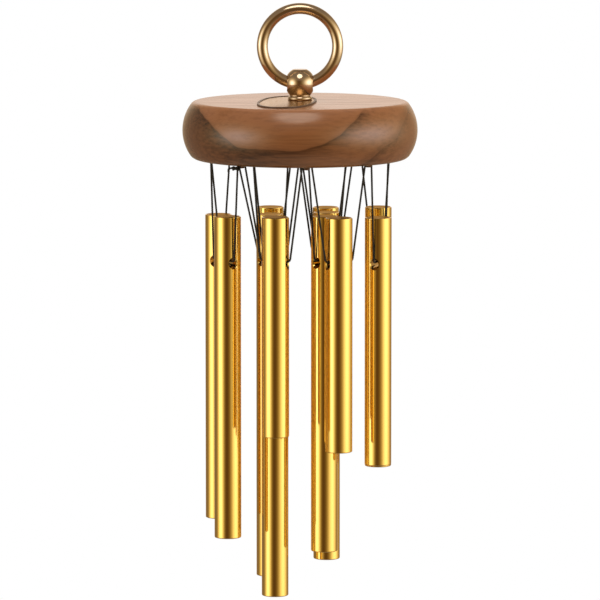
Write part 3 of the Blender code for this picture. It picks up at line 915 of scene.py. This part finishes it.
class CHIME_OT_bars(bpy.types.Operator):
    """Gold rods of graded lengths, each with a cross hole for its cord"""

    bl_idname = "chime.bars"
    bl_label = "Bars"

    def execute(self, context):
        sizes, colours = chime_of(context)
        gold, cut_end = gold_finish(colours.gold), cut_end_finish(colours.cut_end)
        tree = bar_tree()
        alike = {"diameter": sizes.bar, "chamfer": sizes.bar_chamfer, "hole_drop": sizes.hole_drop}
        alike |= {"hole_diameter": sizes.hole, "countersink": sizes.countersink}
        alike |= {"rod_finish": gold, "end_finish": cut_end}
        for number in NUMBERS:
            node = f"chime_bar_{number}"
            low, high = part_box(node)
            rod = grown(tree, bpy.data.meshes.new("start"), length=high.z - low.z, **alike)
            turn = hinge_place(number).to_3x3().to_4x4()
            rod.transform(Matrix.Translation(middle_top(node)) @ turn)
            rod.materials.pop(index=0)
            settle(f"gold_rod_{number}", rod, [], f"bar_{number}", "gold_bar", node)
        return {"FINISHED"}


def strand_route(sizes, reach, hole_height):
    """Half of a bar's cord, from under the upper lip of the cross hole out and up to the disc."""
    radius = sizes.cord / 2
    run = hole_height + sizes.hole / 2 - sizes.gap - radius
    bend = (sizes.bar / 2 - sizes.countersink + radius / 2, run + sizes.cord_bend)
    across, up = reach - bend[0], -bend[1]
    strand = math.sqrt(across**2 + up**2 - sizes.cord_bend**2)
    heading = math.atan2(up, across) + math.atan2(sizes.cord_bend, strand)
    turn = arc(bend, sizes.cord_bend, -math.pi / 2, heading - math.pi / 2, steps=8)
    return [*turn, (reach, 0.0)]


def cord_route(sizes, spread, slip, hole_height):
    """A bar's cord in its hinge's plane: down one strand, through the cross hole, up the other."""
    left, right = (strand_route(sizes, spread + aside, hole_height) for aside in (slip, -slip))
    down = [(slip - x, 0.0, z) for x, z in reversed(left)]
    return down + [(slip + x, 0.0, z) for x, z in right]


class CHIME_OT_cords(bpy.types.Operator):
    """Laid black cord: a V through each bar, and a bight over each peg"""

    bl_idname = "chime.cords"
    bl_label = "Cords"

    def execute(self, context):
        sizes, colours = chime_of(context)
        black = cord_finish(colours.cord)
        pegs = peg_places()
        over = arc((0.0, PEG_DEPTH), sizes.strand, math.pi, 0.0, steps=12)
        bight = [(x, 0.0, z) for x, z in ((-sizes.strand, 0.0), *over, (sizes.strand, 0.0))]
        for number in NUMBERS:
            hinge = hinge_place(number)
            top = hinge.inverted() @ middle_top(f"chime_bar_{number}")
            spread = self.spread(hinge, pegs, sizes)
            route = cord_route(sizes, spread, top.x, top.z - sizes.hole_drop)
            cord = lay_cord(route, sizes, black)
            cord.transform(hinge)
            settle(f"laid_cord_{number}", cord, [], f"bar_{number}", "cord", f"bar_cord_{number}")
            bend = lay_cord(bight, sizes, black)
            bend.transform(pegs[number])
            settle(f"cord_bend_{number}", bend, [], "disc", "cord", f"cord_bight_{number}")
        return {"FINISHED"}

    @staticmethod
    def spread(hinge, pegs, sizes):
        """Half the distance between the tops of a bar's strands, at the pegs nearest its hinge."""
        tops = []
        for place in pegs.values():
            for side in (-1, 1):
                top = hinge.inverted() @ place @ Vector((side * sizes.strand, 0.0, 0.0))
                tops.append((abs(top.y), abs(top.x)))
        return min(tops)[1]


def rounded_path(points, steps=6):
    """A smooth path through the points."""
    points = [Vector(point) for point in points]
    ends = [2 * points[0] - points[1], *points, 2 * points[-1] - points[-2]]
    path = []
    for before, start, end, after in zip(ends, ends[1:], ends[2:], ends[3:]):
        for step in range(steps):
            share = step / steps
            bend = (2 * before - 5 * start + 4 * end - after) * share**2
            twist = (3 * start - before - 3 * end + after) * share**3
            path.append(start + ((end - before) * share + bend + twist) / 2)
    return [*path, points[-1]]


class CHIME_OT_knot(bpy.types.Operator):
    """Knot that ends the outer lacing beside its peg, with a short loose tail"""

    bl_idname = "chime.knot"
    bl_label = "Knot"

    def execute(self, context):
        sizes, colours = chime_of(context)
        black = cord_finish(colours.cord)
        reach, depth, middle = 1.3, 0.42, Vector((0.0, -2.9, -1.1))
        loops, steps, left_open = [], 36, 3
        for step in range(left_open, steps - left_open + 1):
            turn = 2 * math.pi * step / steps
            across = reach * (math.sin(turn) + 2 * math.sin(2 * turn)) / 3
            along = reach * (math.cos(turn) - 2 * math.cos(2 * turn)) / 3
            loops.append(middle + Vector((across, along, -depth * math.sin(3 * turn))))
        lead = ((0.0, -1.73, 2.0), (0.0, -1.75, 0.2))
        tail = ((-0.9, -4.2, -0.9), (-1.6, -4.9, -1.3), (-1.7, -5.0, -2.2))
        path = [point * MM for point in rounded_path([*lead, *loops, *tail])]
        knot = lay_cord(path, sizes, black)
        knot.transform(peg_places()[KNOT_PEG])
        settle("lacing_knot", knot, [], "disc", "cord")
        return {"FINISHED"}


# Studio


class CHIME_OT_studio(bpy.types.Operator):
    """Camera, soft lamps, white surroundings and a pale floor"""

    bl_idname = "chime.studio"
    bl_label = "Studio"

    def execute(self, context):
        studio = context.scene.chime_studio
        target = Vector((0.0, 0.0, DISC_HIGH.z - studio.look_drop))
        self.camera(context, studio, target)
        self.lamps(studio, target)
        self.surroundings(context, studio)
        self.floor(studio)
        context.scene.view_settings.view_transform = "Standard"
        return {"FINISHED"}

    def camera(self, context, studio, target):
        data = bpy.data.cameras.new("camera")
        data.sensor_fit = "HORIZONTAL"
        data.angle = studio.view
        data.clip_end = 50.0
        camera = placed("camera", data)
        back = Vector((0.0, -math.cos(studio.pitch), math.sin(studio.pitch)))
        camera.location = target + back * studio.distance
        camera.rotation_euler = (math.pi / 2 - studio.pitch, 0.0, 0.0)
        context.scene.camera = camera

    def lamp(self, name, place, target, width, power):
        """A round soft lamp that shines on the target and isn't seen itself."""
        data = bpy.data.lights.new(name, "AREA")
        data.shape = "ELLIPSE"
        data.size = data.size_y = width
        data.energy = power
        lamp = placed(name, data)
        lamp.location = place
        lamp.rotation_euler = (target - place).to_track_quat("-Z", "Y").to_euler()
        lamp.visible_camera = False
        return lamp

    def lamps(self, studio, target):
        key = self.lamp("key_lamp", target + KEY_PLACE, target, KEY_WIDTH, studio.key_power)
        key.data.color = KEY_TINT
        top = self.lamp("top_lamp", target + TOP_PLACE, target, TOP_WIDTH, studio.top_power)
        top.visible_glossy = False

    def surroundings(self, context, studio):
        """White to the camera. To the chime, a dim warm room with soft panels round it."""
        world = bpy.data.worlds.new("surroundings")
        context.scene.world = world
        world.use_nodes = True
        tree = world.node_tree
        tree.nodes.clear()
        way = put(tree, "ShaderNodeTexCoord").outputs["Generated"]
        _, back, up = put(tree, "ShaderNodeSeparateXYZ", {0: way}).outputs
        overhead = eased(tree, up, -0.5, 0.9)
        light = mixed(tree, overhead, studio.below, studio.above)
        front = times(tree, eased(tree, back, -0.5, -1.0), eased(tree, up, 0.5, 0.2))
        light = mixed(tree, front, light, studio.front)
        for *angles, tint in PANELS:
            inputs = dict(zip(PANEL_ANGLES, map(math.radians, angles)))
            panel = effect(tree, soft_panel_group, {"Direction": way, **inputs})
            light = vector_calc(tree, "ADD", light, stretched(tree, panel["Light"], *tint))
        camera_ray = put(tree, "ShaderNodeLightPath").outputs["Is Camera Ray"]
        seen = mixed(tree, camera_ray, light, WHITE)
        background = flow(tree, "ShaderNodeBackground", {"Color": seen})
        put(tree, "ShaderNodeOutputWorld", {"Surface": background})

    def floor(self, studio):
        """A pale round floor, which the camera sees as nearly white."""
        bm = bmesh.new()
        bmesh.ops.create_circle(bm, cap_ends=True, segments=96, radius=2.0)
        bmesh.ops.translate(bm, verts=bm.verts, vec=(0.0, 0.0, -studio.floor_drop))
        finish, tree = new_finish("pale_floor", Roughness=0.9)
        shader = tree.nodes["Principled BSDF"]
        grain = noise(tree, in_millimetres(tree), 0.02, 3.0)
        tone = mixed(tree, grain, (0.78, 0.78, 0.77), (0.82, 0.82, 0.81))
        tree.links.new(tone, shader.inputs["Base Color"])
        camera_ray = put(tree, "ShaderNodeLightPath").outputs["Is Camera Ray"]
        seen = times(tree, camera_ray, 0.85)
        white = flow(tree, "ShaderNodeEmission", {"Color": (*WHITE, 1.0)})
        shown = flow(tree, "ShaderNodeMixShader", {0: seen, 1: shader.outputs["BSDF"], 2: white})
        tree.links.new(shown, tree.nodes["Material Output"].inputs["Surface"])
        floor = placed("floor", as_mesh(bm, "floor"))
        floor.data.materials.append(finish)


class VIEW3D_PT_chime(bpy.types.Panel):
    """Pieces of the chime, in the order in which they are made"""

    bl_label = "Hand Chime"
    bl_space_type = "VIEW_3D"
    bl_region_type = "UI"
    bl_category = "Chime"

    def draw(self, context):
        for operator in OPERATORS:
            self.layout.operator(operator.bl_idname)


PROPERTIES = {"chime_sizes": ChimeSizes, "chime_colours": ChimeColours, "chime_studio": ChimeStudio}
OPERATORS = (
    CHIME_OT_studio,
    CHIME_OT_cords,
    CHIME_OT_hang_ring,
    CHIME_OT_ring_post,
    CHIME_OT_wooden_disc,
    CHIME_OT_plate,
    CHIME_OT_fasteners,
    CHIME_OT_pegs,
    CHIME_OT_bars,
    CHIME_OT_knot,
)
CLASSES = (*PROPERTIES.values(), *OPERATORS, VIEW3D_PT_chime)


def register():
    for made in CLASSES:
        bpy.utils.register_class(made)
    for name, group in PROPERTIES.items():
        setattr(bpy.types.Scene, name, PointerProperty(type=group))


def unregister():
    for name in PROPERTIES:
        delattr(bpy.types.Scene, name)
    for made in reversed(CLASSES):
        bpy.utils.unregister_class(made)


def main():
    register()
    for operator in OPERATORS:
        getattr(bpy.ops.chime, operator.bl_idname.split(".")[1])()


if __name__ == "__main__":
    main()
